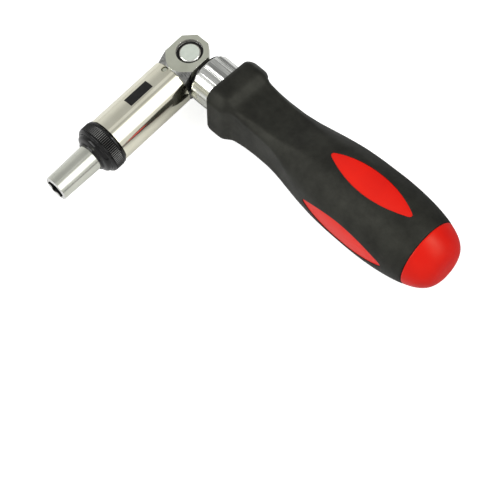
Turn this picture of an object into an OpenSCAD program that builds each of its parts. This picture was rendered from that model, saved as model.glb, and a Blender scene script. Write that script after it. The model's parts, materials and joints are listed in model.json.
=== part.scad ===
// Offset screwdriver: a folding-head ratchet driver for 1/4 inch bits, folded 90 degrees.
// Origin at the mouth of the bit socket. The barrel runs along +Y to the fold axis, which is parallel to Z,
// and the handle runs from there along +X.

/* [Bit holder] */
// Across flats of the bit socket
bit_af = 6.4; // [6.36:0.02:6.6]
// Depth of the bit socket
socket_depth = 13; // [10:0.5:14]
// Radius of the bit holder
holder_r = 4.5; // [4.3:0.05:4.7]
// Length of the bit holder in front of the selector ring
holder_out = 16; // [13:0.1:22]
// How much thicker the holder is at the ring, in radius
holder_taper = 0.3; // [0:0.05:0.35]
// Radius and length of the bit magnet
magnet_r = 2.8; // [2:0.1:3]
magnet_len = 2.6; // [1.5:0.1:3]

/* [Barrel] */
// Outer radius of the barrel
barrel_r = 8.3; // [8.2:0.05:9]
// Length of the barrel
barrel_len = 30.1; // [28:0.1:45]
// Wall of the barrel
barrel_wall = 1.3; // [0.9:0.1:1.5]

/* [Selector ring] */
// Radius over the knurl
ring_r = 8.9; // [8.7:0.05:9.6]
// Length of the ring with its boss
ring_len = 7.9; // [7.8:0.1:9]
// Length of the knurled band
knurl_len = 3.3; // [2.5:0.1:3.4]
// Number of knurls
knurl_count = 80; // [40:4:96]
// Turn of the ring to each side
ring_turn = 20; // [20]

/* [Ratchet] */
// Radius over the teeth, and their depth
gear_r = 3.3; // [3.2:0.05:3.35]
tooth_depth = 0.5; // [0.4:0.05:0.55]
// Number of teeth
tooth_count = 24; // [24]
// Radius at which the pawl's pin stands
pawl_pin_at = 4.6; // [4.6:0.05:4.7]
// Radius of the pawl's pin
pawl_pin_r = 0.5; // [0.4:0.05:0.5]
// Length of the pawl
pawl_len = 3.8; // [3:0.1:3.9]
// Radius of the detent ball
ball_r = 0.9; // [0.8:0.02:0.92]

/* [Fold joint] */
// Half width across the flats of the ears
ear_half = 6.3; // [6:0.05:6.5]
// Half height over the ears' outer faces
ear_top = 8.1; // [7.9:0.05:8.2]
// Thickness of one ear
ear_wall = 4.1; // [3.8:0.05:4.5]
// Radius of the fold pin
pivot_r = 3.55; // [3.5:0.05:3.85]
// Radius and depth of the recess round the fold pin
recess_r = 4.65; // [4.2:0.05:4.8]
recess_depth = 1.5; // [1:0.05:1.7]
// How far the pin's end lies below the ear
pivot_sink = 0.8; // [0.3:0.05:1]

/* [Lock] */
// Radius of the lock sleeve
sleeve_r = 8.8; // [8.6:0.05:9]
// Length of the lock sleeve
sleeve_len = 12.3; // [11:0.1:13]
// Number of flutes
flute_count = 16; // [12:1:28]
// Width of the black lock ring that shows
lock_ring_w = 0.8; // [0.5:0.05:1.2]
// Travel of the lock sleeve away from the ears
lock_travel = 3; // [2:0.1:3.2]

/* [Shank] */
// Radius of the shank
shank_r = 5; // [4.8:0.05:5.1]
// Length of the shank inside the handle core
shank_in = 44; // [30:0.5:46]

/* [Handle] */
// Front face of the handle, from the fold axis
grip_start = 17; // [16.9:0.1:20]
// Length of the handle
grip_len = 96.5; // [92:0.1:125]
// Half width of the handle across its flats, at the belly
belly_flat = 14.4; // [13.9:0.05:14.6]
// Radius of the handle over its corners, at the belly
belly_r = 14.65; // [14.2:0.05:15.6]
// Thickness of the rubber
rubber_t = 1.6; // [1.2:0.05:1.9]
// Length of the end cap
cap_len = 8.8; // [8:0.1:12]
// Half length and half width of the oval windows
window_half_len = 16.9; // [14:0.1:18]
window_half_w = 4.8; // [3.8:0.1:5]
// From the windows' tips to the end cap
window_to_cap = 7.5; // [5:0.1:10]
// Turn of the moulded handle on its shank, in degrees
grip_turn = 7; // [0:1:10]

/* [Hidden] */
$fn = 72;

// Clearances
run_gap = 0.05;
slide_gap = 0.06;
side_gap = 0.1;
open_gap = 0.3;
seat_gap = 0.02;
over = 0.5;
edge = 0.3;

// Stations along the barrel, from the fold axis toward the bit
barrel_start = sleeve_r + open_gap;
barrel_end = barrel_start + barrel_len;
ring_start = barrel_end + 2 * side_gap;
ring_end = ring_start + ring_len;
tip_reach = ring_end + holder_out;
bore_r = barrel_r - barrel_wall;

// Yoke
corner_half = ear_half * tan(22.5);
slot_half = ear_top - ear_wall;
slot_floor = ear_half + side_gap;
shoulder_len = 4.7;
shoulder_r = 10.3;
spigot_len = 12;
pin_r = 1.1;
pin_edge = 0.21;
pin_at = barrel_start + pin_r + pin_edge;
pin_angle = -9;

// Gear case, with its nose under the selector ring
case_len = 7.6;
case_start = barrel_end - case_len;
nose_r = 6.25;
nose_len = 6;
nose_end = barrel_end + nose_len;
journal_r = gear_r - tooth_depth - run_gap;
chamber_start = barrel_end + side_gap;
tail_len = 2.4;
tail_end = case_start - tail_len;
washer_t = 0.7;
washer_r = 5.5;
clip_t = 0.5;
clip_r = 3.6;
groove_depth = 0.55;
groove_r = journal_r - groove_depth;
groove_gap = 0.05;
mouth_chamfer = 0.3;
washer_at = case_start - side_gap - washer_t;
clip_at = washer_at - side_gap - clip_t;

// Gear, pawl and detent
gear_start = barrel_end + 3 * side_gap;
gear_len = pawl_len + 2 * edge;
shoulder_at = nose_end + side_gap;
pawl_start = gear_start + edge;
tooth_flare_share = 0.85;
window_gap = 0.15;
pawl_window = 3.3;
pawl_foot = 0.35;
pawl_back_half = 2.2;
tip_angle = 38.7;
tip_lean = 55.5;
tip_gap = 0.15;
tip_len = 0.8;
heel_w = 0.1;
ball_at = 6.45;
ball_lift = 0.03;
pocket_r = ball_r + run_gap;
pocket_wall = 0.6;
pocket_end = ring_r - pocket_wall;
spring_wire = 0.2;
spring_on_ball = ball_at + ball_r / 2 + side_gap;
pawl_back = ball_at - ball_r - ball_lift;
sel_groove_at = pawl_start + pawl_len + window_gap + edge;
sel_clip_half = 0.5;
sel_clip_in = nose_r - sel_clip_half;
sel_clip_out = nose_r + sel_clip_half;

// Selector ring, from the barrel forward: plain band, knurl, front band, chamfer, hollow neck
band_len = 1;
band_r = ring_r - edge / 2;
front_band_len = 0.5;
ring_chamfer = 0.7;
boss_w = 0.35;
neck_steps = 8;
neck_full = 0.62;
knurl_end = band_len + knurl_len;
neck_start = knurl_end + front_band_len + ring_chamfer;
neck_r = ring_r - ring_chamfer;
holder_root = holder_r + holder_taper;
ring_bore = holder_root + side_gap;
boss_r = ring_bore + boss_w;

// Lock: at rest the ring just clears the ears' corners
corner_r = ear_half / cos(22.5);
lock_start = corner_r + slide_gap;
sleeve_start = lock_start + lock_ring_w;
sleeve_end = sleeve_start + sleeve_len;
lock_ring_in = 1.2;
lock_ring_lip = 1;
lock_ring_r = sleeve_r - lock_ring_lip;
flute_r = 3;
flute_out = 2.66;
tongue_half = slot_half - side_gap;
tongue_len = 17;
wall_t = 2;
coil_r = 5.65;
coil_wire = 0.45;
spring_bore = coil_r + coil_wire + open_gap;
spring_start = sleeve_start + lock_ring_in + wall_t;

// Handle, stations from the fold axis
pocket_bore = sleeve_r + open_gap;
core_start = sleeve_end + lock_travel + open_gap;
seat_t = 0.8;
seat_in = 11;
seat_at = core_start + seat_in;
grip_end = grip_start + grip_len;
cap_start = grip_end - cap_len;
window_at = cap_start - window_to_cap - window_half_len;
core_bore = 8;
plug_len = 8;
shank_end = seat_at + seat_t + shank_in;
bore_in = 14;
core_floor = cap_start - bore_in;
shank_flat = 0.8;

// Half widths of the handle, as shares of its length and of the belly
flat_share = [
    [0, 0.694], [0.008, 0.741], [0.025, 0.765], [0.067, 0.765], [0.083, 0.73], [0.1, 0.635], [0.115, 0.603],
    [0.14, 0.592], [0.212, 0.59], [0.277, 0.609], [0.33, 0.671], [0.394, 0.785], [0.457, 0.885], [0.532, 0.958],
    [0.606, 0.99], [0.68, 1], [1, 1]
];
corner_share = [
    [0, 0.86], [0.008, 0.895], [0.025, 0.92], [0.067, 0.92], [0.083, 0.89], [0.107, 0.81], [0.138, 0.768],
    [0.212, 0.728], [0.277, 0.734], [0.33, 0.762], [0.394, 0.83], [0.457, 0.9], [0.532, 0.963],
    [0.606, 0.99], [0.68, 1]
];
dome_share = 0.694;
dome_fall = 1.93;
dome_blunt = 0.261;
dome_steps = 20;
window_tip = 1.1;

// Curve through the stations of a table, four steps to a station
function knot(t, i) = t[max(0, min(len(t) - 1, i))];
function blend(a, b, c, d, u) =
    b + u * (c - a) / 2 + u * u * (2 * a - 5 * b + 4 * c - d) / 2 + u * u * u * (3 * b - a - 3 * c + d) / 2;
function width_at(t, i, u) = blend(knot(t, i - 1)[1], knot(t, i)[1], knot(t, i + 1)[1], knot(t, i + 2)[1], u);
function place_at(t, i, u) = (1 - u) * t[i][0] + u * t[i + 1][0];
function curve(t, steps) = concat(
    [for (i = [0 : len(t) - 2], k = [0 : steps - 1]) [place_at(t, i, k / steps), width_at(t, i, k / steps)]],
    [t[len(t) - 1]]
);

// Frames: local z runs from the fold axis to the bit, or from the fold axis to the butt
module along_barrel() {
    translate([0, tip_reach, 0]) rotate([90, 0, 0]) children();
}

module along_handle() {
    translate([0, tip_reach, 0]) rotate([0, 90, 0]) children();
}

module along_grip() {
    along_handle() rotate([0, 0, -grip_turn]) children();
}

module tube(outer, inner, from, length) {
    translate([0, 0, from]) difference() {
        cylinder(r = outer, h = length);
        translate([0, 0, -over]) cylinder(r = inner, h = length + 2 * over);
    }
}

module rod(radius, from, to) {
    translate([0, 0, from]) cylinder(r = radius, h = to - from);
}

// Spindle
module gear_outline() {
    gap_half = PI * gear_r / tooth_count * tooth_flare_share;
    difference() {
        circle(r = gear_r);
        for (i = [0 : tooth_count - 1])
            rotate((i + 0.5) * 360 / tooth_count)
                polygon([[gear_r - tooth_depth, 0], [gear_r + tooth_depth, 2 * gap_half],
                         [gear_r + tooth_depth, -2 * gap_half]]);
    }
}

module bit_holder() color("silver") along_barrel() difference() {
    union() {
        rotate_extrude() polygon([
            [0, shoulder_at], [holder_root - edge, shoulder_at], [holder_root, shoulder_at + edge],
            [holder_root, ring_end],
            [holder_r, tip_reach - edge], [holder_r - edge, tip_reach], [0, tip_reach]
        ]);
        translate([0, 0, gear_start]) linear_extrude(height = gear_len) gear_outline();
        rod(journal_r, tail_end, shoulder_at + over);
    }
    translate([0, 0, tip_reach - socket_depth])
        cylinder(r = bit_af / sqrt(3), h = socket_depth + over, $fn = 6);
    translate([0, 0, tip_reach - mouth_chamfer])
        cylinder(r1 = bit_af / 2, r2 = bit_af / 2 + 2 * mouth_chamfer, h = 2 * mouth_chamfer);
    rod(magnet_r + seat_gap, tip_reach - socket_depth - magnet_len, tip_reach - socket_depth + over);
    tube(holder_r, groove_r, clip_at - groove_gap, clip_t + 2 * groove_gap);
}

module bit_magnet() color("dimgray") along_barrel()
    rod(magnet_r, tip_reach - socket_depth - magnet_len, tip_reach - socket_depth);

module thrust_washer() color("silver") along_barrel() tube(washer_r, journal_r + run_gap, washer_at, washer_t);

module spindle_clip() color("dimgray") along_barrel() difference() {
    tube(clip_r, groove_r + seat_gap, clip_at, clip_t);
    translate([-groove_r / 2, 0, clip_at - over]) cube([groove_r, clip_r + over, clip_t + 2 * over]);
}

// Head
module gear_case() color("silver") along_barrel() difference() {
    union() {
        rod(bore_r, case_start, barrel_end);
        rod(nose_r, barrel_end, nose_end);
    }
    rod(journal_r + run_gap, case_start - over, nose_end + over);
    rod(gear_r + side_gap, chamber_start, nose_end + over);
    translate([-pawl_window, 0, pawl_start - window_gap])
        cube([2 * pawl_window, nose_r + over, pawl_len + 2 * window_gap]);
    translate([0, pawl_pin_at, 0]) rod(pawl_pin_r, case_start + case_len / 2, nose_end + over);
    tube(nose_r + over, sel_clip_in - seat_gap, sel_groove_at, clip_t);
}

module pawl_pin() color("dimgray") along_barrel()
    translate([0, pawl_pin_at, 0]) rod(pawl_pin_r, case_start + case_len / 2, nose_end - side_gap);

module selector_clip() color("dimgray") along_barrel() difference() {
    tube(sel_clip_out, sel_clip_in, sel_groove_at, clip_t);
    translate([-nose_r / 4, -sel_clip_out - over, sel_groove_at - over])
        cube([nose_r / 2, sel_clip_out, clip_t + 2 * over]);
}

module barrel() color("lightyellow") along_barrel() difference() {
    rotate_extrude() polygon([
        [bore_r, barrel_start], [barrel_r - edge, barrel_start], [barrel_r, barrel_start + edge],
        [barrel_r, barrel_end - edge], [barrel_r - edge, barrel_end], [bore_r, barrel_end]
    ]);
    cross_hole(barrel_r + over);
}

module cross_hole(reach) {
    rotate([0, 0, -pin_angle]) translate([0, reach, pin_at]) rotate([90, 0, 0])
        cylinder(r = pin_r, h = 2 * reach);
}

module yoke_pin() color("darkgray") along_barrel() intersection() {
    cross_hole(barrel_r);
    rod(barrel_r - seat_gap, barrel_start, barrel_end);
}

module ear_outline() {
    polygon([
        [-corner_half, -ear_half], [corner_half, -ear_half], [ear_half, -corner_half],
        [ear_half, barrel_start], [-ear_half, barrel_start], [-ear_half, -corner_half]
    ]);
}

// The block is turned round the barrel's axis, then its faces are milled flat
module yoke() color("gray") along_barrel() difference() {
    union() {
        intersection() {
            rotate([90, 0, 0]) translate([0, 0, -ear_top]) linear_extrude(height = 2 * ear_top) ear_outline();
            rotate_extrude() polygon([
                [0, -ear_half - over], [shoulder_r + edge, -ear_half - over],
                [shoulder_r + edge, barrel_start - shoulder_len],
                [barrel_r - edge, barrel_start], [0, barrel_start]
            ]);
        }
        rod(bore_r, barrel_start - over, barrel_start + spigot_len);
    }
    translate([-shoulder_r, -slot_half, -ear_half - over])
        cube([2 * shoulder_r, 2 * slot_half, ear_half + over + slot_floor]);
    rotate([90, 0, 0]) rod(pivot_r, -ear_top - over, ear_top + over);
    for (side = [-1, 1]) rotate([side * 90, 0, 0]) rod(recess_r, ear_top - recess_depth, ear_top + over);
    cross_hole(barrel_r + over);
}

module pivot_pin() color("lightgray") along_barrel() rotate([90, 0, 0])
    rod(pivot_r, pivot_sink - ear_top, ear_top - pivot_sink);

// Pawl, as a point at an angle and radius round the spindle
function round_at(angle, radius) = [radius * sin(angle), radius * cos(angle)];

function pawl_side() =
    let (tip = round_at(tip_angle, gear_r + tip_gap), heel = tip + round_at(tip_lean, tip_len)) [
        [tip[0], pawl_pin_at - pawl_pin_r - pawl_foot], tip, heel,
        [heel[0] + heel_w, pawl_pin_at + edge], [pawl_back_half, pawl_back]
    ];

module pawl() color("dimgray") along_barrel() translate([0, 0, pawl_start]) difference() {
    side = pawl_side();
    linear_extrude(height = pawl_len)
        polygon(concat(side, [for (i = [len(side) - 1 : -1 : 0]) [-side[i][0], side[i][1]]]));
    translate([0, pawl_pin_at, -over]) cylinder(r = pawl_pin_r + run_gap, h = pawl_len + 2 * over);
}

// Selector
module knurl_outline() {
    pitch = 360 / knurl_count;
    polygon([for (i = [0 : knurl_count - 1], k = [0, 1])
        round_at((i + k / 2) * pitch, k == 0 ? ring_r : ring_r - edge)]);
}

module selector_ring() color("black") along_barrel() difference() {
    union() {
        translate([0, 0, ring_start]) rotate_extrude() polygon(concat(
            [[0, 0], [band_r, 0], [band_r, band_len], [neck_r, band_len], [neck_r, knurl_end],
                [band_r, knurl_end], [band_r, knurl_end + front_band_len]],
            [for (i = [0 : neck_steps]) let (u = i / neck_steps) [
                boss_r + (neck_r - boss_r) * pow(1 - u, neck_full),
                neck_start + (ring_len - neck_start) * u
            ]],
            [[0, ring_len]]
        ));
        translate([0, 0, ring_start + band_len]) linear_extrude(height = knurl_len) knurl_outline();
    }
    rod(nose_r + run_gap, ring_start - over, nose_end + side_gap);
    rod(ring_bore, ring_start, ring_end + over);
    rod(sel_clip_out + side_gap, sel_groove_at - side_gap, sel_groove_at + clip_t + side_gap);
    translate([0, 0, pawl_start + pawl_len / 2]) rotate([-90, 0, 0]) cylinder(r = pocket_r, h = pocket_end);
}

module detent_ball() color("silver") along_barrel()
    translate([0, ball_at, pawl_start + pawl_len / 2]) sphere(r = ball_r);

module detent_spring() color("silver") along_barrel()
    translate([0, 0, pawl_start + pawl_len / 2]) rotate([-90, 0, 0]) tube(
        ball_r - run_gap, ball_r - run_gap - spring_wire, spring_on_ball, pocket_end - spring_on_ball);

// Lock
module flute_outline() {
    difference() {
        circle(r = sleeve_r);
        for (i = [0 : flute_count - 1])
            rotate((i + 0.5) * 360 / flute_count) translate([sleeve_r + flute_out, 0])
                circle(r = flute_r, $fn = 24);
    }
}

module shank_section(gap) {
    intersection() {
        circle(r = shank_r + gap);
        square([2 * (tongue_half + gap), 2 * (shank_r + over)], center = true);
    }
}

module lock_sleeve() color("silver") along_handle() difference() {
    intersection() {
        translate([0, 0, sleeve_start]) linear_extrude(height = sleeve_len) flute_outline();
        rotate_extrude() polygon([
            [0, sleeve_start], [sleeve_r - 2 * edge, sleeve_start], [sleeve_r, sleeve_start + 2 * edge],
            [sleeve_r, sleeve_end - edge], [sleeve_r - edge, sleeve_end], [0, sleeve_end]
        ]);
    }
    rod(shank_r + slide_gap, sleeve_start - over, sleeve_end);
    rod(lock_ring_r + seat_gap, sleeve_start - over, sleeve_start + lock_ring_in);
    rod(spring_bore, spring_start, sleeve_end + over);
}

module lock_ring() color("black") along_handle() translate([0, 0, lock_start]) difference() {
    cylinder(r = lock_ring_r, h = lock_ring_w + lock_ring_in);
    translate([0, 0, -over]) linear_extrude(height = lock_ring_w + lock_ring_in + 2 * over)
        shank_section(slide_gap);
}

module sleeve_spring() color("silver") along_handle() tube(
    coil_r + coil_wire, coil_r - coil_wire, spring_start + seat_gap, seat_at - spring_start - 2 * seat_gap);

module spring_seat() color("silver") along_handle()
    tube(spring_bore - run_gap, shank_r + seat_gap, seat_at, seat_t);

// Handle. Two flats keep the shank from turning in the core
module shank_bar() difference() {
    rod(shank_r, tongue_len, shank_end);
    for (side = [-1, 1]) translate([side * (2 * shank_r - shank_flat), 0, shank_end])
        cube([2 * shank_r, 2 * shank_r + over, shank_in], center = true);
}

module shank() color("gray") along_handle() difference() {
    union() {
        rotate([0, 90, 0]) translate([0, 0, -tongue_half]) cylinder(r = shank_r, h = 2 * tongue_half);
        linear_extrude(height = tongue_len) shank_section(0);
        shank_bar();
    }
    rotate([0, 90, 0]) rod(pivot_r + run_gap, -ear_top, ear_top);
}

// Outer form of the handle, drawn in by an inset
module flat_profile(inset) {
    half = [for (p = curve(flat_share, 4)) [p[1] * belly_flat - inset, grip_start + p[0] * grip_len]];
    polygon(concat(half, [for (i = [len(half) - 1 : -1 : 0]) [-half[i][0], half[i][1]]]));
}

module corner_profile(inset) {
    dome_at = grip_start + dome_share * grip_len;
    dome_len = grip_end - dome_at;
    side = [for (p = curve(corner_share, 4)) if (p[0] < dome_share)
        [p[1] * belly_r - inset, grip_start + p[0] * grip_len]];
    dome = [for (i = [0 : dome_steps]) let (u = sin(i * 90 / dome_steps)) [
        max(0, (belly_r - inset) * pow(max(0, 1 - pow(u, dome_fall)), dome_blunt)),
        dome_at + (dome_len - inset) * u
    ]];
    polygon(concat([[0, grip_start]], side, dome));
}

module flat_bar(inset) {
    rotate([90, 0, 0]) translate([0, 0, -2 * belly_r]) linear_extrude(height = 4 * belly_r) flat_profile(inset);
}

module grip_form(inset) {
    intersection() {
        flat_bar(inset);
        rotate([0, 0, 90]) flat_bar(inset);
        rotate_extrude() corner_profile(inset);
    }
}

module slab(from, to) {
    translate([-2 * belly_r, -2 * belly_r, from]) cube([4 * belly_r, 4 * belly_r, to - from]);
}

// Oval through which the core shows, one on each flat, with blunt tips
module window_outline(gap) {
    arc_r = (pow(window_half_len + window_tip, 2) + pow(window_half_w, 2)) / (2 * window_half_w);
    intersection() {
        circle(r = window_half_len - gap);
        translate([arc_r - window_half_w, 0]) circle(r = arc_r - gap, $fn = 180);
        translate([window_half_w - arc_r, 0]) circle(r = arc_r - gap, $fn = 180);
    }
}

module windows(gap) {
    for (i = [0 : 3]) rotate([0, 0, 90 * i]) translate([0, 0, window_at]) rotate([-90, 0, 0])
        linear_extrude(height = 2 * belly_r) window_outline(gap);
}

module handle_core() color("red") along_grip() difference() {
    union() {
        intersection() {
            grip_form(rubber_t);
            slab(core_start, cap_start);
        }
        intersection() {
            grip_form(seat_gap);
            windows(seat_gap);
        }
    }
    rod(spring_bore, core_start - over, seat_at + seat_t);
    rotate([0, 0, grip_turn]) shank_bar();
    rod(core_bore, core_floor, cap_start + over);
}

module rubber_grip() color("black") along_grip() difference() {
    intersection() {
        grip_form(0);
        slab(grip_start, cap_start);
    }
    intersection() {
        grip_form(rubber_t);
        slab(core_start, cap_start + over);
    }
    rod(pocket_bore, grip_start - over, core_start);
    rod(spring_bore, core_start - over, seat_at + seat_t);
    windows(0);
}

module end_cap() color("red") along_grip() difference() {
    union() {
        intersection() {
            grip_form(0);
            slab(cap_start, grip_end);
        }
        rod(core_bore - seat_gap, cap_start - plug_len, cap_start + over);
    }
    rod(core_bore - 2 * rubber_t, cap_start - plug_len - over, cap_start + cap_len / 3);
}

bit_holder();
bit_magnet();
thrust_washer();
spindle_clip();
gear_case();
barrel();
yoke();
yoke_pin();
pivot_pin();
pawl_pin();
selector_clip();
pawl();
selector_ring();
detent_ball();
detent_spring();
lock_sleeve();
lock_ring();
sleeve_spring();
shank();
spring_seat();
handle_core();
rubber_grip();
end_cap();
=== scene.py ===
"""Offset screwdriver: the looks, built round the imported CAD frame.

Lengths are in metres unless a name says mm.
"""

import json
from math import atan2, cos, hypot, pi, radians, sin, sqrt

import bmesh
import bpy
from mathutils import Matrix, Vector


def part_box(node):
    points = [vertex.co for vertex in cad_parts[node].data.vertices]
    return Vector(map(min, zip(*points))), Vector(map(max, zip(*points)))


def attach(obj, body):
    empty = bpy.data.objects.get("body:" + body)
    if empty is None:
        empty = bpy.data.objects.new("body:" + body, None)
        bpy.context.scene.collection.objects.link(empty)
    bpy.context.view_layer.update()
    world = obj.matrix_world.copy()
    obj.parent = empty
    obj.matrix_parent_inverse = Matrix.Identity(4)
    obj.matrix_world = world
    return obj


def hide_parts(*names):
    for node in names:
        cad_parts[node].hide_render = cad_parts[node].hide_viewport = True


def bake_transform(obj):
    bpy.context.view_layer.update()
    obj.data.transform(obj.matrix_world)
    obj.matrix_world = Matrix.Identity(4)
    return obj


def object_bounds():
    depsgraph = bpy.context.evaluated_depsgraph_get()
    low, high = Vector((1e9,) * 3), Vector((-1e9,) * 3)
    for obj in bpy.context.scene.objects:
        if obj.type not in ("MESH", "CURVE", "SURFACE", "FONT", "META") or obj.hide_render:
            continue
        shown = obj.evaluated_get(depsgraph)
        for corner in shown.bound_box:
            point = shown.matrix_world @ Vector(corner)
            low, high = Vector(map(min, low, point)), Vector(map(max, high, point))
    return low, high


MM = 0.001
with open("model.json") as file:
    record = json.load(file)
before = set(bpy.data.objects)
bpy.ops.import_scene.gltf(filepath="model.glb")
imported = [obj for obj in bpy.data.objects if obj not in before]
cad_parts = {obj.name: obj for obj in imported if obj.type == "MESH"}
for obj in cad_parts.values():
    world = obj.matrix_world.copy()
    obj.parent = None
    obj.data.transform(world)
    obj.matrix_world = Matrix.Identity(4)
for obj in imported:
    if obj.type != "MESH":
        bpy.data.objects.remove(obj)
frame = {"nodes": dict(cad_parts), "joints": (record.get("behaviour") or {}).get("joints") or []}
CAD_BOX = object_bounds()
NODES = frame["nodes"]

# Places that the frame gives
HINGE = Vector(next(j for j in frame["joints"] if j["name"] == "head_fold")["pos_m"])
GRIP_LOW, GRIP_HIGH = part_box("rubber_grip")
CAP_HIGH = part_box("end_cap")[1]
RING_LOW, RING_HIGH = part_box("selector_ring")
SLEEVE_LOW, SLEEVE_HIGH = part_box("lock_sleeve")

# Camera
IMAGE_PX = 500
FOCAL_PX = 1805.1
SENSOR_MM = 36
NEAREST, FARTHEST = 0.01, 20
CAMERA_FROM_HINGE_MM = Vector((266.75, -181.25, 514.74))
CAMERA_RIGHT = Vector((0.71261, 0.69619, -0.08666))
CAMERA_DOWN = Vector((0.60415, -0.67176, -0.42865))
CAMERA_AWAY = Vector((-0.35664, 0.25311, -0.8993))


def make_camera():
    data = bpy.data.cameras.new("camera")
    data.sensor_width = SENSOR_MM
    data.lens = FOCAL_PX / IMAGE_PX * SENSOR_MM
    data.clip_start = NEAREST
    data.clip_end = FARTHEST
    camera = bpy.data.objects.new("camera", data)
    bpy.context.scene.collection.objects.link(camera)
    axes = Matrix((CAMERA_RIGHT, -CAMERA_DOWN, -CAMERA_AWAY)).transposed()
    camera.matrix_world = Matrix.Translation(HINGE + CAMERA_FROM_HINGE_MM * MM) @ axes.to_4x4()
    bpy.context.scene.camera = camera


# Shader nodes
ALL_WAYS = (1, 1, 1)
ALONG_X = (0.06, 1, 1)
ALONG_Y = (1, 0.06, 1)
ROUND_Y = (0.5, 2.2, 0.5)


def set_inputs(node, inputs):
    """Sets inputs by name; an underscore stands for a space."""
    for key, value in inputs.items():
        node.inputs[key.replace("_", " ")].default_value = value


def new_material(name, **inputs):
    """A material, its node tree and its shader, with the shader's inputs set by name."""
    material = bpy.data.materials.new(name)
    material.use_nodes = True
    shader = material.node_tree.nodes["Principled BSDF"]
    set_inputs(shader, inputs)
    return material, material.node_tree, shader


def add(tree, kind, **inputs):
    node = tree.nodes.new(kind)
    set_inputs(node, inputs)
    return node


def stretched(tree, scale):
    """Object coordinates, scaled by axis."""
    place = tree.nodes.new("ShaderNodeTexCoord")
    mapping = add(tree, "ShaderNodeMapping", Scale=scale)
    tree.links.new(place.outputs["Object"], mapping.inputs["Vector"])
    return mapping.outputs["Vector"]


def noise(tree, vector, scale, detail, roughness):
    node = add(tree, "ShaderNodeTexNoise", Scale=scale, Detail=detail, Roughness=roughness)
    tree.links.new(vector, node.inputs["Vector"])
    return node.outputs["Fac"]


def remap(tree, value, source, result, smooth=False):
    """A value between the two ends of source becomes one between the two ends of result."""
    node = add(tree, "ShaderNodeMapRange", From_Min=source[0], From_Max=source[1],
               To_Min=result[0], To_Max=result[1])
    if smooth:
        node.interpolation_type = "SMOOTHSTEP"
    tree.links.new(value, node.inputs["Value"])
    return node.outputs["Result"]


def calculate(tree, operation, *values):
    """A math node; each value is a number or another node's output."""
    node = tree.nodes.new("ShaderNodeMath")
    node.operation = operation
    for place, value in enumerate(values):
        if isinstance(value, (int, float)):
            node.inputs[place].default_value = value
        else:
            tree.links.new(value, node.inputs[place])
    return node.outputs[0]


def colour(tree, shader, factor, low, high, stops=(0.3, 0.7)):
    """Base colour from low to high, where the factor goes from the first stop to the second."""
    node = tree.nodes.new("ShaderNodeValToRGB")
    for stop, at, tone in zip(node.color_ramp.elements, stops, (low, high)):
        stop.position = at
        stop.color = (*tone, 1)
    tree.links.new(factor, node.inputs["Fac"])
    tree.links.new(node.outputs["Color"], shader.inputs["Base Color"])


def roughen(tree, shader, factor, rough):
    tree.links.new(remap(tree, factor, (0, 1), rough), shader.inputs["Roughness"])


def bump(tree, shader, height, strength, distance_mm):
    node = add(tree, "ShaderNodeBump", Strength=strength, Distance=distance_mm * MM)
    tree.links.new(height, node.inputs["Height"])
    tree.links.new(node.outputs["Normal"], shader.inputs["Normal"])


# Materials
def metal(name, low, high, rough, grain, grain_scale, relief, mottled=False):
    """A metal whose grain is drawn out along its smallest axis; where mottled, the grain colours it too."""
    material, tree, shader = new_material(name, Metallic=1)
    fine = noise(tree, stretched(tree, grain), grain_scale, detail=6, roughness=0.7)
    shade = fine
    if not mottled:
        shade = noise(tree, stretched(tree, ALL_WAYS), scale=140, detail=3, roughness=0.5)
    colour(tree, shader, shade, low, high)
    roughen(tree, shader, fine, rough)
    bump(tree, shader, fine, relief, distance_mm=0.04)
    return material


def zinc_material():
    """Pale plated pin end, part matt and part metal."""
    material, tree, shader = new_material("pale zinc", Metallic=0.55)
    cloud = noise(tree, stretched(tree, ALL_WAYS), scale=420, detail=5, roughness=0.6)
    colour(tree, shader, cloud, (0.67, 0.73, 0.645), (0.77, 0.83, 0.74))
    roughen(tree, shader, cloud, (0.5, 0.36))
    bump(tree, shader, cloud, strength=0.2, distance_mm=0.05)
    return material


def mouth_material():
    """Matt bright steel of the end face and the socket's chamfer."""
    material, tree, shader = new_material("socket mouth", Metallic=0.6)
    cloud = noise(tree, stretched(tree, ALL_WAYS), scale=900, detail=4, roughness=0.6)
    colour(tree, shader, cloud, (0.62, 0.62, 0.6), (0.76, 0.76, 0.74))
    roughen(tree, shader, cloud, (0.4, 0.55))
    return material


def rubber_material():
    material, tree, shader = new_material("soft black rubber", Specular_IOR_Level=0.38,
                                          Specular_Tint=(1, 1, 0.86, 1))
    vector = stretched(tree, ALL_WAYS)
    mottle = noise(tree, vector, scale=95, detail=7, roughness=0.7)
    grain = noise(tree, vector, scale=2600, detail=3, roughness=0.6)
    colour(tree, shader, mottle, (0.002, 0.0021, 0.0017), (0.016, 0.0165, 0.0132), stops=(0.38, 0.66))
    roughen(tree, shader, mottle, (0.68, 0.44))
    bump(tree, shader, grain, strength=0.35, distance_mm=0.06)
    return material


def red_material(name, low, high, gloss):
    material, tree, shader = new_material(name, Specular_IOR_Level=gloss, Specular_Tint=(1, 1, 0.72, 1))
    vector = stretched(tree, ALL_WAYS)
    drift = noise(tree, vector, scale=110, detail=3, roughness=0.5)
    grain = noise(tree, vector, scale=1500, detail=3, roughness=0.6)
    colour(tree, shader, drift, low, high)
    roughen(tree, shader, grain, (0.32, 0.4))
    bump(tree, shader, grain, strength=0.12, distance_mm=0.05)
    return material


def black_gloss_material(name, rough):
    material, tree, shader = new_material(name, Specular_IOR_Level=0.34)
    dust = noise(tree, stretched(tree, ALL_WAYS), scale=900, detail=5, roughness=0.65)
    colour(tree, shader, dust, (0.003, 0.003, 0.003), (0.011, 0.011, 0.01), stops=(0.45, 0.8))
    roughen(tree, shader, dust, rough)
    bump(tree, shader, dust, strength=0.08, distance_mm=0.04)
    return material


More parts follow.
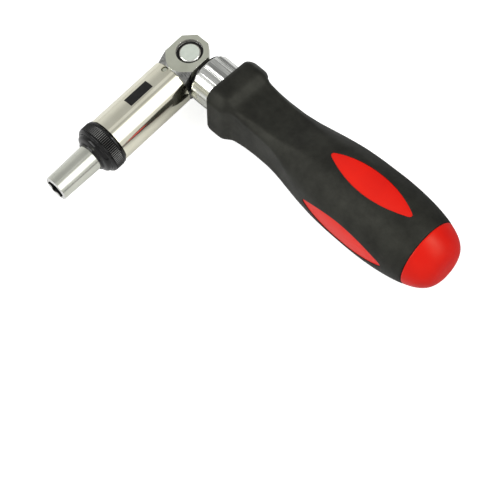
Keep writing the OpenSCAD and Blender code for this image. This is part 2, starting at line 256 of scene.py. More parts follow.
def make_materials():
    return {
        "nickel": metal(
            "warm nickel", (0.79, 0.767, 0.62), (0.86, 0.842, 0.70), (0.07, 0.12), ALONG_Y, 1800, 0.04),
        "bright_steel": metal(
            "bright steel", (0.80, 0.80, 0.79), (0.88, 0.88, 0.87), (0.16, 0.26), ALONG_Y, 2400, 0.1),
        "holder_steel": metal(
            "holder steel", (0.60, 0.612, 0.54), (0.69, 0.70, 0.62), (0.16, 0.26), ALONG_Y, 2400, 0.1),
        "collar_steel": metal(
            "collar steel", (0.50, 0.51, 0.48), (0.96, 0.97, 0.93), (0.1, 0.2), ALONG_X, 1500, 0.1,
            mottled=True),
        "satin_steel": metal(
            "satin steel", (0.57, 0.585, 0.485), (0.69, 0.71, 0.60), (0.36, 0.52), ALL_WAYS, 3200, 0.5),
        "edge_steel": metal(
            "broken edge", (0.80, 0.80, 0.76), (0.9, 0.9, 0.86), (0.14, 0.2), ALL_WAYS, 2400, 0.05),
        # Painted shade: a darker steel for the walls of the ear recesses.
        "recess_shade_steel": metal(
            "recess steel in painted shade", (0.45, 0.445, 0.41), (0.6, 0.59, 0.55), (0.5, 0.65), ALL_WAYS, 900, 0.1),
        # Turning streaks of the yoke's shoulder; its dark base colour is painted shade.
        "turned_steel_and_shade": metal(
            "turned steel darkened as painted shade", (0.07, 0.072, 0.07), (0.42, 0.42, 0.40), (0.22, 0.5), ROUND_Y, 1100, 0.9,
            mottled=True),
        "dark_steel": metal(
            "dark steel", (0.10, 0.10, 0.10), (0.16, 0.16, 0.16), (0.35, 0.5), ALL_WAYS, 1600, 0.2),
        # Worn metal on the knurl's crests; it also paints their light lines as a sheen.
        "worn_black_and_sheen": metal(
            "worn black with painted sheen", (0.07, 0.07, 0.066), (0.15, 0.15, 0.142), (0.3, 0.45), ALL_WAYS, 1800, 0.1),
        "pale_steel": zinc_material(),
        "mouth_steel": mouth_material(),
        # Painted shade for the walls inside the bit socket.
        "socket_shade_steel": black_gloss_material("socket walls in painted shade", (0.4, 0.6)),
        "black_gloss": black_gloss_material("black gloss", (0.06, 0.13)),
        # Black print; the same black also paints the shade on the floors of the ear recesses.
        "black_print_and_shade": black_gloss_material("black print and painted shade", (0.5, 0.7)),
        "black_rubber": rubber_material(),
        "red_plastic": red_material("red plastic", (0.74, 0.003, 0.001), (0.81, 0.005, 0.001), gloss=0.4),
        "red_cap": red_material("red cap", (0.66, 0.004, 0.002), (0.75, 0.007, 0.002), gloss=0.24),
    }


# Points, faces and pieces
SAME_POINT = 0.000002
SHARP_DEG = 38


def along_handle(station, radius, angle):
    """A point round the handle's axis; angle 0 is +Z and it grows toward +Y."""
    return Vector((HINGE.x + station, HINGE.y + radius * sin(angle), HINGE.z + radius * cos(angle)))


def along_barrel(station, radius, angle):
    """A point round the barrel's axis; angle 0 is +Z and it grows toward +X."""
    return Vector((HINGE.x + radius * sin(angle), HINGE.y - station, HINGE.z + radius * cos(angle)))


def along_fold(station, radius, angle):
    """A point round the fold axis; angle 0 is +X and it grows toward +Y."""
    return Vector((HINGE.x + radius * cos(angle), HINGE.y + radius * sin(angle), HINGE.z + station))


def round_angles(count):
    return [2 * pi * k / count for k in range(count)]


def ring_faces(rings, around, closed=False):
    """Four-sided faces between rings of points; where closed, the last ring also joins the first."""
    faces = []
    for ring in range(rings if closed else rings - 1):
        here = ring * around
        there = (ring + 1) % rings * around
        for k in range(around):
            nxt = (k + 1) % around
            faces.append((here + k, here + nxt, there + nxt, there + k))
    return faces


def end_faces(rings, around):
    """The flat faces on the first and the last ring."""
    last = (rings - 1) * around
    return [tuple(range(around - 1, -1, -1)), tuple(last + k for k in range(around))]


def tidy(piece):
    """Merges doubled points, turns every face outward and keeps sharp edges sharp."""
    work = bmesh.new()
    work.from_mesh(piece.data)
    bmesh.ops.remove_doubles(work, verts=work.verts, dist=SAME_POINT)
    bmesh.ops.recalc_face_normals(work, faces=work.faces)
    work.to_mesh(piece.data)
    work.free()
    piece.data.set_sharp_from_angle(angle=radians(SHARP_DEG))


def mesh_object(name, verts, faces, material, body):
    """A smooth piece that rides on a body; with body None it rides on none."""
    data = bpy.data.meshes.new(name)
    data.from_pydata([tuple(v) for v in verts], [], faces)
    data.materials.append(material)
    for polygon in data.polygons:
        polygon.use_smooth = True
    data.update()
    piece = bpy.data.objects.new(name, data)
    bpy.context.scene.collection.objects.link(piece)
    tidy(piece)
    if body:
        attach(piece, body)
    return piece


def turned(name, place, profile, around, wave, material, body):
    """A closed profile of (station, radius, share of the wave) in mm, turned round an axis."""
    verts = []
    for station, radius, share in profile:
        for angle in round_angles(around):
            verts.append(place(station * MM, (radius - share * wave(angle)) * MM, angle))
    return mesh_object(name, verts, ring_faces(len(profile), around, closed=True), material, body)


def no_wave(angle):
    return 0


# Handle form
GRIP_START = GRIP_LOW.x
GRIP_END = CAP_HIGH.x
CAP_START = GRIP_HIGH.x
GRIP_LEN = GRIP_END - GRIP_START
GRIP_TURN = radians(7)
BELLY_FLAT = 14.4 * MM
BELLY_R = 14.65 * MM
FLAT_SHARE = [
    (0, 0.694), (0.008, 0.741), (0.025, 0.765), (0.067, 0.765), (0.083, 0.73), (0.1, 0.635),
    (0.115, 0.603), (0.14, 0.592), (0.212, 0.59), (0.277, 0.609), (0.33, 0.671), (0.394, 0.785),
    (0.457, 0.885), (0.532, 0.958), (0.606, 0.99), (0.68, 1), (1, 1),
]
CORNER_SHARE = [
    (0, 0.86), (0.008, 0.895), (0.025, 0.92), (0.067, 0.92), (0.083, 0.89), (0.107, 0.81),
    (0.138, 0.768), (0.212, 0.728), (0.277, 0.734), (0.33, 0.762), (0.394, 0.83), (0.457, 0.90),
    (0.532, 0.963), (0.606, 0.99), (0.68, 1),
]
SOFTNESS_MM = [(0, 0.45), (0.12, 0.3), (0.3, 0.35), (0.55, 1.2), (1, 1.2)]
DOME_SHARE, DOME_FALL, DOME_BLUNT = 0.694, 1.93, 0.261
WINDOW_HALF_LEN = 16.9 * MM
WINDOW_TO_CAP = 7.5 * MM
WINDOW_AT = CAP_START - WINDOW_TO_CAP - WINDOW_HALF_LEN
WINDOW_START = WINDOW_AT - WINDOW_HALF_LEN
WINDOW_END = WINDOW_AT + WINDOW_HALF_LEN
WINDOW_HALF_W = 4.8 * MM
WINDOW_TIP = 1.1 * MM
TIP_ROUND = 0.8 * MM
TIP_NARROW = 0.5


def spline(table, at):
    """A smooth curve, without overshoot, through a table of (place, value) with uneven places."""
    last = len(table) - 1
    if at <= table[0][0]:
        return table[0][1]
    if at >= table[last][0]:
        return table[last][1]
    i = max(k for k in range(last) if table[k][0] <= at)
    (x1, y1), (x2, y2) = table[i], table[i + 1]
    slope = (y2 - y1) / (x2 - x1)

    def tangent(k):
        if k in (0, last):
            return slope
        (xa, ya), (xb, yb) = table[k - 1], table[k + 1]
        left = (table[k][1] - ya) / (table[k][0] - xa)
        right = (yb - table[k][1]) / (xb - table[k][0])
        return 0 if left * right <= 0 else 2 * left * right / (left + right)

    m1, m2 = tangent(i), tangent(i + 1)
    h = x2 - x1
    t = (at - x1) / h
    return ((2 * t**3 - 3 * t**2 + 1) * y1 + (t**3 - 2 * t**2 + t) * h * m1
            + (3 * t**2 - 2 * t**3) * y2 + (t**3 - t**2) * h * m2)


def soft_min(a, b, softness):
    """The smaller of two lengths, with a rounded change from one to the other."""
    gap = max(softness - abs(a - b), 0) / softness
    return min(a, b) - gap * gap * softness / 4


def corner_radius(share):
    """Radius of the handle's corners at a share of its length."""
    if share < DOME_SHARE:
        return BELLY_R * spline(CORNER_SHARE, share)
    u = min((share - DOME_SHARE) / (1 - DOME_SHARE), 1)
    return BELLY_R * max(1 - u**DOME_FALL, 0) ** DOME_BLUNT


def handle_radius(x, angle):
    """Radius of the handle's outside at a station, at an angle from the middle of the upper flat."""
    share = (x - GRIP_START) / GRIP_LEN
    flat = BELLY_FLAT * spline(FLAT_SHARE, share)
    corner = corner_radius(share)
    off = abs((angle + pi / 4) % (pi / 2) - pi / 4)
    return soft_min(flat / cos(off), corner, spline(SOFTNESS_MM, share) * MM)


def on_handle(x, angle, radius):
    """A point of the turned moulding; angle 0 is the middle of the upper flat, and it grows toward +Y."""
    return along_handle(x - HINGE.x, radius, angle + GRIP_TURN)


def handle_ring(x, sink, around):
    """A ring of points, a little below the handle's outside."""
    return [on_handle(x, angle, handle_radius(x, angle) - sink) for angle in round_angles(around)]


def window_half(x):
    """Half width of the oval at a station."""
    reach = WINDOW_HALF_LEN + WINDOW_TIP
    arc = (reach**2 + WINDOW_HALF_W**2) / (2 * WINDOW_HALF_W)
    off = min(abs(x - WINDOW_AT), WINDOW_HALF_LEN)
    half = sqrt(arc**2 - off**2) - (arc - WINDOW_HALF_W)
    into_tip = max(off - WINDOW_HALF_LEN + TIP_ROUND, 0) / TIP_ROUND
    return half * (1 - TIP_NARROW * (1 - sqrt(1 - into_tip**2)))


# Rubber, core and cap
RIM_STEPS_MM = (0, 0.03, 0.1, 0.2, 0.32, 0.5)
TIP_STEPS_MM = (0.12, 0.25, 0.45, 0.7, 1.2, 1.8)
ROW_STEP = 1.1 * MM
RIM_R = 0.32 * MM
RUBBER_WALL = 1.4 * MM
OVAL_RADIUS_SHARE = 0.98
OVAL_COLUMNS = 10
OUTER_COLUMNS = 12
SIDE_COLUMNS = len(RIM_STEPS_MM) - 1 + OUTER_COLUMNS
PER_QUARTER = 2 * SIDE_COLUMNS + OVAL_COLUMNS
RUBBER_AROUND = 4 * PER_QUARTER
POCKET_R = 9.1 * MM
POCKET_FLARE = 0.3 * MM
POCKET_DEPTHS_MM = (0, 0.3, 6)
CORE_SINK = 0.3 * MM
CORE_PAST_OVALS = 2 * MM
CORE_STEP = 0.5 * MM
CORE_STEP_LEN = 1.2 * MM
CORE_AROUND = 160
CAP_RIM_MM = [(-0.6, 0.75), (0.02, 0.45), (0.12, 0.16), (0.4, 0.05)]
CAP_SINK = 0.05 * MM
CAP_STEPS = 48
CAP_AROUND = 144


def rim_drop(distance):
    """How far the rubber's surface rounds down at a distance from its rim."""
    if distance >= RIM_R:
        return 0
    return RIM_R - sqrt(RIM_R**2 - (RIM_R - distance) ** 2)


def columns(x):
    """Angles round one quarter of the handle: up to its oval, across the oval, and on to the next quarter."""
    half = window_half(x) / (OVAL_RADIUS_SHARE * handle_radius(x, 0))
    inside = [half * (2 * k / OVAL_COLUMNS - 1) for k in range(OVAL_COLUMNS + 1)]
    rims = [half + step * MM / handle_radius(x, 0) for step in RIM_STEPS_MM[1:]]
    last = rims[-1]
    outer = [last + (pi / 4 - last) * k / OUTER_COLUMNS for k in range(1, OUTER_COLUMNS + 1)]
    right = rims + outer
    return [-a for a in reversed(right)][1:] + inside + right


def stations(start, end, rounded_ends):
    """Stations along the handle, denser at the ovals' tips and at rounded ends."""
    marks = {start, end}
    for tip, outward in ((WINDOW_START, -1), (WINDOW_END, 1)):
        marks.update(tip + outward * step * MM for step in RIM_STEPS_MM)
        marks.update(tip - outward * step * MM for step in TIP_STEPS_MM)
    if rounded_ends:
        marks.update(start + step * MM for step in RIM_STEPS_MM)
        marks.update(end - step * MM for step in RIM_STEPS_MM)
    marks = sorted(m for m in marks if start <= m <= end)
    filled = []
    for a, b in zip(marks, marks[1:]):
        count = max(1, round((b - a) / ROW_STEP))
        filled += [a + (b - a) * k / count for k in range(count)]
    return filled + [end]


def rubber_skins(rows):
    """The points of the rubber's outside and of its inside, row by row."""
    outside, inside = [], []
    for x in rows:
        angles = columns(x)
        half = window_half(x)
        past_tip = abs(x - WINDOW_AT) - WINDOW_HALF_LEN
        from_end = min(x - GRIP_START, CAP_START - x)
        for quarter in range(4):
            for angle in angles:
                radius = handle_radius(x, angle)
                side = max(abs(angle) * radius - half, 0)
                from_oval = side if past_tip <= 0 else hypot(side, past_tip)
                drop = max(rim_drop(from_oval), rim_drop(from_end))
                turn = angle + quarter * pi / 2
                outside.append(on_handle(x, turn, radius - drop))
                inside.append(on_handle(x, turn, radius - RUBBER_WALL))
    return outside, inside


def rubber_skin_faces(rows, inside_from):
    """Faces of both skins, with the ovals left open and walled."""
    at_ovals = [WINDOW_START < (a + b) / 2 < WINDOW_END for a, b in zip(rows, rows[1:])]
    oval_from = SIDE_COLUMNS - 1

    def is_hole(row, column):
        if not 0 <= row < len(at_ovals) or not at_ovals[row]:
            return False
        return oval_from <= column % PER_QUARTER < oval_from + OVAL_COLUMNS

    faces = []
    for row in range(len(rows) - 1):
        for column in range(RUBBER_AROUND):
            if is_hole(row, column):
                continue
            nxt = (column + 1) % RUBBER_AROUND
            a, b = row * RUBBER_AROUND + column, row * RUBBER_AROUND + nxt
            c, d = b + RUBBER_AROUND, a + RUBBER_AROUND
            faces.append((a, b, c, d))
            faces.append((inside_from + d, inside_from + c, inside_from + b, inside_from + a))
            if is_hole(row, column - 1):
                faces.append((a, d, inside_from + d, inside_from + a))
            if is_hole(row, column + 1):
                faces.append((b, inside_from + b, inside_from + c, c))
            if is_hole(row - 1, column):
                faces.append((a, inside_from + a, inside_from + b, b))
            if is_hole(row + 1, column):
                faces.append((d, c, inside_from + c, inside_from + d))
    return faces


def pocket_points(front_ring):
    """The round pocket in the flange: a few points behind each other for every point of the front ring."""
    points = []
    for _, y, z in front_ring:
        angle = atan2(y - HINGE.y, z - HINGE.z)
        for depth in POCKET_DEPTHS_MM:
            radius = POCKET_R + (POCKET_FLARE if depth == 0 else 0)
            points.append(along_handle(GRIP_START - HINGE.x + depth * MM, radius, angle))
    return points


def rubber_end_faces(rows, inside_from, pocket_from):
    """The front face with its pocket, and the rear edge."""
    deep = len(POCKET_DEPTHS_MM)
    last = (len(rows) - 1) * RUBBER_AROUND
    faces = []
    for column in range(RUBBER_AROUND):
        nxt = (column + 1) % RUBBER_AROUND
        p, q = pocket_from + deep * column, pocket_from + deep * nxt
        faces.append((column, p, q, nxt))
        for k in range(deep - 1):
            faces.append((p + k, p + k + 1, q + k + 1, q + k))
        faces.append((p + deep - 1, inside_from + column, inside_from + nxt, q + deep - 1))
        faces.append((last + column, last + nxt, inside_from + last + nxt, inside_from + last + column))
    return faces


def make_rubber(materials):
    """The overmould, with its four ovals cut through and every rim rounded."""
    rows = stations(GRIP_START, CAP_START, rounded_ends=True)
    outside, inside = rubber_skins(rows)
    pocket = pocket_points(outside[:RUBBER_AROUND])
    inside_from = len(outside)
    faces = rubber_skin_faces(rows, inside_from)
    faces += rubber_end_faces(rows, inside_from, inside_from + len(inside))
    piece = mesh_object("grip_rubber", outside + inside + pocket, faces,
                        materials["black_rubber"], "handle")
    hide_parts("rubber_grip")


def make_core(materials):
    """The hard core: it fills the ovals a little below the rubber, and steps down under the cap's rim."""
    rows = stations(WINDOW_START - CORE_PAST_OVALS, CAP_START, rounded_ends=False)
    verts = []
    for x in rows:
        step = CORE_STEP if x > CAP_START - CORE_STEP_LEN else 0
        verts += handle_ring(x, CORE_SINK + step, CORE_AROUND)
    faces = ring_faces(len(rows), CORE_AROUND) + end_faces(len(rows), CORE_AROUND)
    piece = mesh_object("core_ovals", verts, faces, materials["red_plastic"], "handle")
    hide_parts("handle_core")


def make_cap(materials):
    """The red dome, its rim tucked a little under the rubber's edge."""
    profile = [(CAP_START + station * MM, sink * MM) for station, sink in CAP_RIM_MM]
    start = profile[-1][0]
    for k in range(1, CAP_STEPS):
        x = start + (GRIP_END - start) * sin(k * pi / 2 / CAP_STEPS)
        profile.append((x, CAP_SINK * (1 - k / CAP_STEPS)))
    verts = []
    for x, sink in profile:
        verts += handle_ring(x, sink, CAP_AROUND)
    faces = ring_faces(len(profile), CAP_AROUND) + end_faces(len(profile), CAP_AROUND)
    piece = mesh_object("butt_dome", verts, faces, materials["red_cap"], "handle")
    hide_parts("end_cap")


# Direction ring: stations from its rear face and radii; for the knurl also a share of the knurl's depth
KNURLS = 80
KNURL_SAMPLES = 6
KNURL_DEPTH_MM = 0.32
KNURL_SLOPE_SHARE = 0.4
WORN_AND_SHEEN_FROM = 8.8 * MM
REAR_BAND_MM = [(0, 8.3), (0.02, 8.45), (0.1, 8.62), (0.22, 8.7), (0.78, 8.7), (0.9, 8.62), (0.96, 8.5)]
KNURL_MM = [
    (0.99, 8.62, 0), (1.12, 8.89, 1), (1.8, 8.89, 1), (2.6, 8.89, 1), (3.4, 8.89, 1), (4.2, 8.89, 1),
    (4.35, 8.64, 0),
]
RING_NOSE_MM = [
    (4.39, 8.56), (4.44, 8.66), (4.52, 8.74), (4.78, 8.74), (4.9, 8.66), (5.38, 8.22), (5.46, 8.1),
    (5.46, 7.96), (5.3, 7.8), (5.3, 7.66), (5.42, 7.6), (5.75, 7.58), (6.1, 7.5), (6.42, 7.34),
    (6.68, 7.1), (6.88, 6.8), (7.02, 6.46), (7.12, 6.12), (7.22, 5.86), (7.36, 5.68), (7.55, 5.58),
    (7.75, 5.52), (7.86, 5.42), (7.9, 5.26), (7.88, 5.0), (7.8, 4.9),
]
RING_BORE_MM = [(6.3, 4.9), (6.3, 6.3), (0, 6.3)]


def knurl_wave(angle):
    """Flat crests and V valleys."""
    turn = angle / (2 * pi) * KNURLS % 1
    return KNURL_DEPTH_MM * max(0, 1 - abs(turn - 0.5) / KNURL_SLOPE_SHARE)


def make_ring(materials):
    """The direction ring: plain rear band, straight knurl, front band, groove and rounded neck."""
    rear = (HINGE.y - RING_HIGH.y) / MM
    front = (HINGE.y - RING_LOW.y) / MM
    profile = [(rear + station, radius, 0) for station, radius in REAR_BAND_MM]
    profile += [(rear + station, radius, share) for station, radius, share in KNURL_MM]
    profile += [(min(rear + station, front), radius, 0) for station, radius in RING_NOSE_MM + RING_BORE_MM]
    piece = turned("knurled_ring", along_barrel, profile, KNURLS * KNURL_SAMPLES, knurl_wave,
                   materials["black_gloss"], "selector")
    # The knurl's crests take worn metal, which also stands as a painted sheen for their thin light lines.
    piece.data.materials.append(materials["worn_black_and_sheen"])
    for polygon in piece.data.polygons:
        points = [piece.data.vertices[k].co for k in polygon.vertices]
        if all(hypot(p.x - HINGE.x, p.z - HINGE.z) > WORN_AND_SHEEN_FROM for p in points):
            polygon.material_index = 1
    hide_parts("selector_ring")


# Fluted collar: stations from its front or rear end, radii, and shares of the flutes' depth
FLUTES = 16
FLUTE_SAMPLES = 30
FLUTE_DEPTH_MM = 0.36
FLUTE_HALF_WIDTHS = (0.45, 0.48, 0.42, 0.47, 0.44)
FLUTE_DEPTH_SHARES = (1, 0.8, 0.92, 0.7, 1)
RIPPLE_MM = 0.007
LINES_ROUND, MORE_LINES_ROUND = 109, 67
MORE_LINES_SHARE, MORE_LINES_SHIFT = 0.8, 1
COLLAR_FRONT_MM = [
    (0, 7.84, 0), (0.01, 8.3, 0), (0.1, 8.44, 0.1), (0.24, 8.6, 0.45), (0.42, 8.72, 0.85),
    (0.62, 8.79, 1), (3, 8.79, 1), (6, 8.79, 1), (9, 8.79, 1),
]
COLLAR_REAR_MM = [(-0.4, 8.79, 1), (-0.15, 8.68, 0.6), (0, 8.5, 0), (0, 6.42, 0)]
COLLAR_BORE_MM = [(3.2, 6.42, 0), (3.2, 5.07, 0), (1.2, 5.07, 0), (1.2, 7.82, 0)]


def flute_wave(angle):
    """Shallow uneven scallops with narrow lands between them, and fine draw lines."""
    turn = angle / (2 * pi) * FLUTES
    number = int(turn) % FLUTES
    width = FLUTE_HALF_WIDTHS[number % len(FLUTE_HALF_WIDTHS)]
    deep = FLUTE_DEPTH_SHARES[number * 3 % len(FLUTE_DEPTH_SHARES)]
    off = min(abs(turn % 1 - 0.5) / width, 1)
    lines = sin(LINES_ROUND * angle) + MORE_LINES_SHARE * sin(MORE_LINES_ROUND * angle + MORE_LINES_SHIFT)
    return FLUTE_DEPTH_MM * deep * (1 - off * off) + RIPPLE_MM * lines


def make_collar(materials):
    """The lock sleeve: fluted outside, both rims turned smooth."""
    start = (SLEEVE_LOW.x - HINGE.x) / MM
    end = (SLEEVE_HIGH.x - HINGE.x) / MM
    profile = []
    for origin, part in ((start, COLLAR_FRONT_MM), (end, COLLAR_REAR_MM), (start, COLLAR_BORE_MM)):
        profile += [(origin + station, radius, share) for station, radius, share in part]
    piece = turned("fluted_collar", along_handle, profile, FLUTES * FLUTE_SAMPLES, flute_wave,
                   materials["collar_steel"], "sleeve")
    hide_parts("lock_sleeve")


# Coil behind the collar
COIL_TURNS = 7
STEPS_PER_TURN = 28
COIL_STEPS = COIL_TURNS * STEPS_PER_TURN
COIL_END_TURNS = 0.8
COIL_END_RISE = 0.06
WIRE_R = 0.35 * MM
WIRE_SIDES = 10
COIL_PLAY = 0.02 * MM


def make_lock_spring(materials):
    """The coil round the shank behind the sleeve; it rides on no body."""
    low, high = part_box("sleeve_spring")
    radius = (high.y - low.y) / 2 - WIRE_R - COIL_PLAY
    first, last = low.x + WIRE_R, high.x - WIRE_R
    verts = []
    for step in range(COIL_STEPS + 1):
        u = step / COIL_STEPS
        rise = (u * COIL_TURNS - COIL_END_TURNS) / (COIL_TURNS - 2 * COIL_END_TURNS)
        rise = COIL_END_RISE * u + (1 - COIL_END_RISE) * min(max(rise, 0), 1)
        station = first + (last - first) * rise - HINGE.x
        for around in round_angles(WIRE_SIDES):
            out = radius + WIRE_R * cos(around)
            verts.append(along_handle(station + WIRE_R * sin(around), out, 2 * pi * COIL_TURNS * u))
    faces = ring_faces(COIL_STEPS + 1, WIRE_SIDES) + end_faces(COIL_STEPS + 1, WIRE_SIDES)
    piece = mesh_object("lock_coil", verts, faces, materials["bright_steel"], None)
    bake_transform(piece)
    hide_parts("sleeve_spring")


# Pins
CROSS_PIN_TURN = radians(-9)
CROSS_PIN_AT = 10.41 * MM
CROSS_PIN_END_MM = [(7.98, 0), (7.98, 0.6), (7.97, 0.78), (7.86, 0.9), (7.7, 0.95), (7.3, 0.98)]
CROSS_PIN_AROUND = 40
FOLD_PIN_END_MM = [(-0.9, 3.54), (-0.22, 3.54), (-0.2, 3.53), (0, 3.2), (0, 3.1), (0, 0)]
FOLD_PIN_CHAMFER_FROM = 3.2 * MM
FOLD_PIN_AROUND = 96


def make_cross_pin(materials):
    """The pin through barrel and spigot, with chamfered flat ends."""
    rows = CROSS_PIN_END_MM + [(-reach, radius) for reach, radius in reversed(CROSS_PIN_END_MM)]
    centre = along_barrel(CROSS_PIN_AT, 0, 0)
    out = Vector((sin(CROSS_PIN_TURN), 0, cos(CROSS_PIN_TURN)))
    across = Vector((cos(CROSS_PIN_TURN), 0, -sin(CROSS_PIN_TURN)))
    along = Vector((0, 1, 0))
    verts = []
    for reach, radius in rows:
        for angle in round_angles(CROSS_PIN_AROUND):
            side = across * cos(angle) + along * sin(angle)
            verts.append(centre + out * reach * MM + side * radius * MM)
    faces = ring_faces(len(rows), CROSS_PIN_AROUND)
    piece = mesh_object("cross_pin", verts, faces, materials["satin_steel"], "head")
    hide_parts("yoke_pin")


def make_fold_pin(materials):
    """The pin of the ears: a pale flat end inside a bright shallow chamfer."""
    reach = (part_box("pivot_pin")[1].z - HINGE.z) / MM
    profile = [(reach + station, radius, 0) for station, radius in FOLD_PIN_END_MM]
    profile += [(-station, radius, share) for station, radius, share in reversed(profile)]
    piece = turned("fold_pin", along_fold, profile, FOLD_PIN_AROUND, no_wave,
                   materials["pale_steel"], "head")
    piece.data.materials.append(materials["edge_steel"])
    for polygon in piece.data.polygons:
        centre = polygon.center
        if hypot(centre.x - HINGE.x, centre.y - HINGE.y) > FOLD_PIN_CHAMFER_FROM:
            polygon.material_index = 1
    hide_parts("pivot_pin")


# Index block on the barrel
INDEX_STATIONS_MM = (17.6, 27.5)
INDEX_RADII_MM = (8.28, 8.315)
INDEX_ANGLES_DEG = range(-22, 5, 2)


def make_index(materials):
    """A plain black index block printed on the barrel."""
    verts = []
    for station in INDEX_STATIONS_MM:
        for angle in INDEX_ANGLES_DEG:
            for radius in INDEX_RADII_MM:
                verts.append(along_barrel(station * MM, radius * MM, radians(angle)))
    row = 2 * len(INDEX_ANGLES_DEG)
    last = row - 2
    faces = []
    for a in range(0, last, 2):
        b = a + 2
        faces.append((a + 1, b + 1, row + b + 1, row + a + 1))
        faces.append((a, row + a, row + b, b))
        faces.append((a, b, b + 1, a + 1))
        faces.append((row + a, row + a + 1, row + b + 1, row + b))
    faces.append((0, 1, row + 1, row))
    faces.append((last, row + last, row + last + 1, last + 1))
    mesh_object("index_block", verts, faces, materials["black_print_and_shade"], "head")


# Dress of the CAD nodes
NODE_MATERIAL = {
    "bit_holder": "holder_steel", "bit_magnet": "dark_steel", "thrust_washer": "bright_steel",
    "spindle_clip": "dark_steel", "gear_case": "bright_steel", "barrel": "nickel", "yoke": "satin_steel",
    "yoke_pin": "satin_steel", "pivot_pin": "pale_steel", "pawl_pin": "dark_steel",
    "selector_clip": "dark_steel", "pawl": "dark_steel", "selector_ring": "black_gloss",
    "detent_ball": "bright_steel",
    "detent_spring": "bright_steel", "lock_sleeve": "collar_steel", "lock_ring": "black_gloss",
    "sleeve_spring": "bright_steel", "shank": "satin_steel", "spring_seat": "bright_steel",
    "handle_core": "red_plastic", "rubber_grip": "black_rubber", "end_cap": "red_cap",
}
RECESS_REACH = 5.0 * MM
SHOULDER_FROM = 3.5 * MM
FACE_SINK = 0.05 * MM
LEVEL = 0.9
SOCKET_REACH = 3.7 * MM
CHAMFER_DEPTH = 0.32 * MM
FACES_TIP = -0.3


def dress_nodes(materials):
    for name, key in NODE_MATERIAL.items():
        node = NODES[name]
        node.data.materials.clear()
        node.data.materials.append(materials[key])


def soften(node, width_mm, segments, sharper_than_deg, edge_material):
    """Broken edges that catch the light."""
    weld = node.modifiers.new("weld", "WELD")
    weld.merge_threshold = SAME_POINT
    edges = node.modifiers.new("edges", "BEVEL")
    edges.width = width_mm * MM
    edges.segments = segments
    edges.limit_method = "ANGLE"
    edges.angle_limit = radians(sharper_than_deg)
    edges.harden_normals = True
    edges.material = edge_material


def dress_yoke(materials):
    """Ground ears, recesses whose floors and walls are painted in shade, and a turned shoulder toward the
    barrel whose dark colour is partly painted shade.
    """
    node = NODES["yoke"]
    for key in ("turned_steel_and_shade", "edge_steel", "recess_shade_steel", "black_print_and_shade"):
        node.data.materials.append(materials[key])
    turned_shade_index, edge_index, shaded_wall_index, shaded_floor_index = 1, 2, 3, 4
    low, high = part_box("yoke")
    for polygon in node.data.polygons:
        centre = polygon.center
        if not low.z + FACE_SINK < centre.z < high.z - FACE_SINK:
            continue
        # The shoulder's turned steel: its streaks are real, and its dark colour is painted shade.
        if HINGE.y - centre.y > SHOULDER_FROM:
            polygon.material_index = turned_shade_index
        # Painted shade: recess floors are painted black and their walls a darker steel, for the shade in the
        # gap round the pin.
        if hypot(centre.x - HINGE.x, centre.y - HINGE.y) < RECESS_REACH:
            polygon.material_index = shaded_floor_index if abs(polygon.normal.z) > LEVEL else shaded_wall_index
    soften(node, width_mm=0.45, segments=4, sharper_than_deg=44, edge_material=edge_index)


def dress_holder(materials):
    """The end face and the chamfer are bright, and the socket behind them is painted dark as shade."""
    node = NODES["bit_holder"]
    node.data.materials.append(materials["socket_shade_steel"])
    node.data.materials.append(materials["mouth_steel"])
    socket_shade_index, mouth_index = 1, 2
    for polygon in node.data.polygons:
        centre = polygon.center
        inside = hypot(centre.x - HINGE.x, centre.z - HINGE.z) < SOCKET_REACH
        # Painted shade: the socket's steel walls take a dark gloss for the shade inside the hole.
        if inside and RING_LOW.y > centre.y > CHAMFER_DEPTH:
            polygon.material_index = socket_shade_index
        if centre.y < CHAMFER_DEPTH and polygon.normal.y < FACES_TIP:
            polygon.material_index = mouth_index


# World: what lights and mirrors see, by the height and the side of a direction
WHITE = (1, 1, 1, 1)
HORIZON, OVERHEAD = 0.76, 0.5
RISES = (0.25, 0.85)
NEAR_SIDE, FAR_SIDE = 1, 0.35
RECEDES = (0.38, 0.8)
GLOW = 2.0
GLOW_FROM = Vector((0.64, 0.29, 0.71)).normalized()
GLOW_EDGE = (0.872, 0.985)


def make_world():
    """A light tent: white to the camera; for the rest a little darker overhead, with a soft bright side."""
    world = bpy.data.worlds.new("studio")
    bpy.context.scene.world = world
    world.use_nodes = True
    tree = world.node_tree
    tree.nodes.clear()
    place = tree.nodes.new("ShaderNodeTexCoord")
    split = tree.nodes.new("ShaderNodeSeparateXYZ")
    toward = tree.nodes.new("ShaderNodeVectorMath")
    toward.operation = "DOT_PRODUCT"
    toward.inputs[1].default_value = GLOW_FROM
    tree.links.new(place.outputs["Generated"], split.inputs[0])
    tree.links.new(place.outputs["Generated"], toward.inputs[0])
    level = remap(tree, split.outputs["Z"], RISES, (HORIZON, OVERHEAD), smooth=True)
    far = remap(tree, split.outputs["Y"], RECEDES, (NEAR_SIDE, FAR_SIDE), smooth=True)
    glow = remap(tree, toward.outputs["Value"], GLOW_EDGE, (0, GLOW), smooth=True)
    lit = add(tree, "ShaderNodeBackground", Color=WHITE)
    seen = add(tree, "ShaderNodeBackground", Color=WHITE, Strength=1)
    path = tree.nodes.new("ShaderNodeLightPath")
    mix = tree.nodes.new("ShaderNodeMixShader")
    out = tree.nodes.new("ShaderNodeOutputWorld")
    tree.links.new(calculate(tree, "MULTIPLY_ADD", level, far, glow), lit.inputs["Strength"])
    tree.links.new(path.outputs["Is Camera Ray"], mix.inputs["Fac"])
    tree.links.new(lit.outputs[0], mix.inputs[1])
    tree.links.new(seen.outputs[0], mix.inputs[2])
    tree.links.new(mix.outputs[0], out.inputs[0])


# Floor
FLOOR_Z = CAD_BOX[0][2] - 0.5 * MM
FLOOR_HALF = 3.0
PAPER, SHADED_PAPER_IN_MIRRORS = 0.8, 0.16
BEHIND_Y = (0.062, 0.09)
BEHIND_X = (0.02, 0.06)
BEYOND_X = (0.095, 0.12)
OWN_WHITE = 0.7
OWN_WHITE_IN_MIRRORS = 0.04


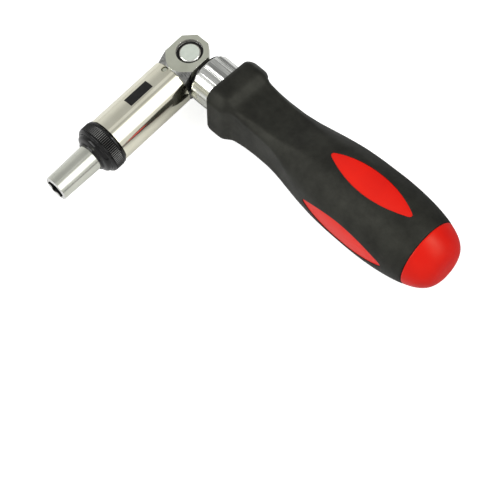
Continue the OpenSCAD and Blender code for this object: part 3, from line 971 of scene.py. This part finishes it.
def make_floor():
    """Lit paper with its shadow and a share of its own white; mirrors see it darker behind the tool, as
    painted shade.
    """
    material, tree, shader = new_material("white floor", Roughness=0.9, Specular_IOR_Level=0.1)
    place = tree.nodes.new("ShaderNodeTexCoord")
    split = tree.nodes.new("ShaderNodeSeparateXYZ")
    path = tree.nodes.new("ShaderNodeLightPath")
    in_mirrors = path.outputs["Is Glossy Ray"]
    tree.links.new(place.outputs["Object"], split.inputs[0])
    # Painted shade that only mirrors see: the paper behind the tool, and beyond it toward +X, is darker in
    # reflections.
    behind = remap(tree, split.outputs["Y"], BEHIND_Y, (0, 1))
    along = remap(tree, split.outputs["X"], BEHIND_X, (0, 1))
    beyond = remap(tree, split.outputs["X"], BEYOND_X, (0, 1))
    far_side = calculate(tree, "MULTIPLY", behind, along)
    dark = calculate(tree, "MULTIPLY", calculate(tree, "MAXIMUM", far_side, beyond), in_mirrors)
    tree.links.new(remap(tree, dark, (0, 1), (PAPER, SHADED_PAPER_IN_MIRRORS)), shader.inputs["Base Color"])
    own = calculate(tree, "MULTIPLY", path.outputs["Is Camera Ray"], OWN_WHITE)
    own = calculate(tree, "MULTIPLY_ADD", in_mirrors, OWN_WHITE_IN_MIRRORS, own)
    white = add(tree, "ShaderNodeEmission", Color=WHITE)
    both = tree.nodes.new("ShaderNodeAddShader")
    tree.links.new(own, white.inputs["Strength"])
    tree.links.new(shader.outputs[0], both.inputs[0])
    tree.links.new(white.outputs[0], both.inputs[1])
    tree.links.new(both.outputs[0], tree.nodes["Material Output"].inputs["Surface"])
    corners = [(x * FLOOR_HALF, y * FLOOR_HALF, FLOOR_Z) for x, y in ((-1, -1), (1, -1), (1, 1), (-1, 1))]
    data = bpy.data.meshes.new("floor")
    data.from_pydata(corners, [], [(0, 1, 2, 3)])
    data.materials.append(material)
    floor = bpy.data.objects.new("floor", data)
    bpy.context.scene.collection.objects.link(floor)


# Lamps: name, place, size and watts; all face the middle of the tool
LAMPS_FACE = Vector((0.04, 0.05, 0))
LAMPS = [
    ("front softbox", (-0.28, -0.45, 0.59), (0.6, 0.42), 2.8),
    ("top strip", (-0.06, 0.3, 0.9), (0.2, 0.6), 0.09),
    ("key", (0.38, 0.34, 0.64), (0.12, 0.12), 0.75),
]


def make_lamps():
    for name, place, size, watts in LAMPS:
        data = bpy.data.lights.new(name, "AREA")
        data.shape = "RECTANGLE"
        data.size, data.size_y = size
        data.energy = watts
        lamp = bpy.data.objects.new(name, data)
        bpy.context.scene.collection.objects.link(lamp)
        lamp.location = place
        lamp.rotation_euler = (LAMPS_FACE - Vector(place)).to_track_quat("-Z", "Y").to_euler()


# Build
make_camera()
MATERIALS = make_materials()
dress_nodes(MATERIALS)
make_rubber(MATERIALS)
make_core(MATERIALS)
make_cap(MATERIALS)
make_ring(MATERIALS)
make_collar(MATERIALS)
make_lock_spring(MATERIALS)
make_cross_pin(MATERIALS)
make_index(MATERIALS)
dress_yoke(MATERIALS)
make_fold_pin(MATERIALS)
dress_holder(MATERIALS)
make_world()
make_floor()
make_lamps()
bpy.context.scene.view_settings.view_transform = "Standard"
